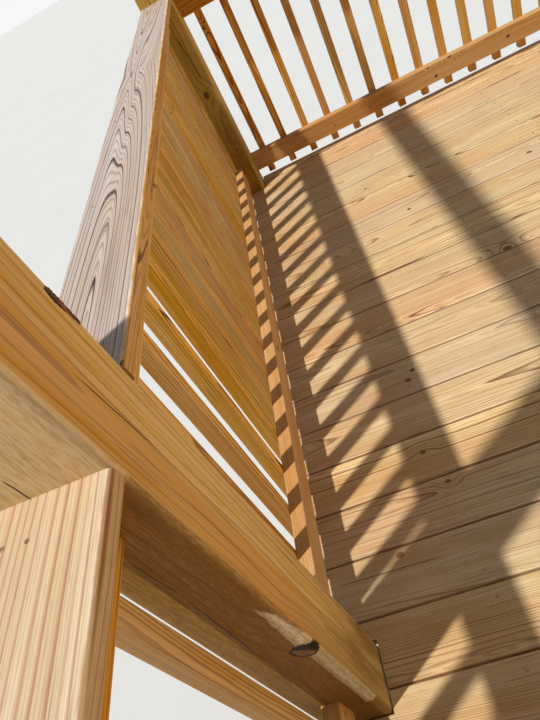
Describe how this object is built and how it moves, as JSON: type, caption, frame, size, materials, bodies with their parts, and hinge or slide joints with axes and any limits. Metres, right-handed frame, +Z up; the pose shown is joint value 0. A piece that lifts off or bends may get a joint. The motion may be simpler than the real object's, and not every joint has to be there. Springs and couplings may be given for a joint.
{
  "type": "raised wooden deck with railing",
  "caption": "Square raised timber deck on posts, with boarded floor, joists and beams, baluster railings on the sides away from the house, and posts that rise to open headers.",
  "frame": {"origin": "on the ground, under the middle of the post that stands under the middle of the deck", "axes": "+Z up, +X along the deck boards to the right, +Y away from the house to the far railing"},
  "size_m": [5.016, 5.033, 4.645],
  "materials": {
    "deck_wood": "weathered, bare",
    "cap_wood": "weathered, bare",
    "post_wood": "bare",
    "rail_wood": "bare",
    "frame_wood": "rough sawn, bare",
    "hanger_steel": "galvanised"
  },
  "bodies": {
    "root": {"deck_boards": "deck_wood", "far_balusters": "rail_wood", "far_beam_back_plank": "frame_wood", "far_beam_front_plank": "frame_wood", "far_bottom_rail": "rail_wood", "far_header_inner_plank": "frame_wood", "far_header_outer_plank": "frame_wood", "far_middle_post": "post_wood", "far_rail_cap": "cap_wood", "far_rim_joist": "frame_wood", "far_top_rail": "rail_wood", "joist_hangers": "hanger_steel", "joists": "frame_wood", "ledger": "frame_wood", "left_balusters": "rail_wood", "left_bottom_rail": "rail_wood", "left_far_post": "post_wood", "left_header_inner_plank": "frame_wood", "left_header_outer_plank": "frame_wood", "left_house_post": "post_wood", "left_middle_post": "post_wood", "left_rail_cap": "cap_wood", "left_rim_joist": "frame_wood", "left_top_rail": "rail_wood", "middle_beam_back_plank": "frame_wood", "middle_beam_front_plank": "frame_wood", "right_balusters": "rail_wood", "right_bottom_rail": "rail_wood", "right_far_post": "post_wood", "right_header_inner_plank": "frame_wood", "right_header_outer_plank": "frame_wood", "right_house_post": "post_wood", "right_middle_post": "post_wood", "right_rail_cap": "cap_wood", "right_rim_joist": "frame_wood", "right_top_rail": "rail_wood", "under_deck_post": "post_wood"}
  },
  "joints": []
}
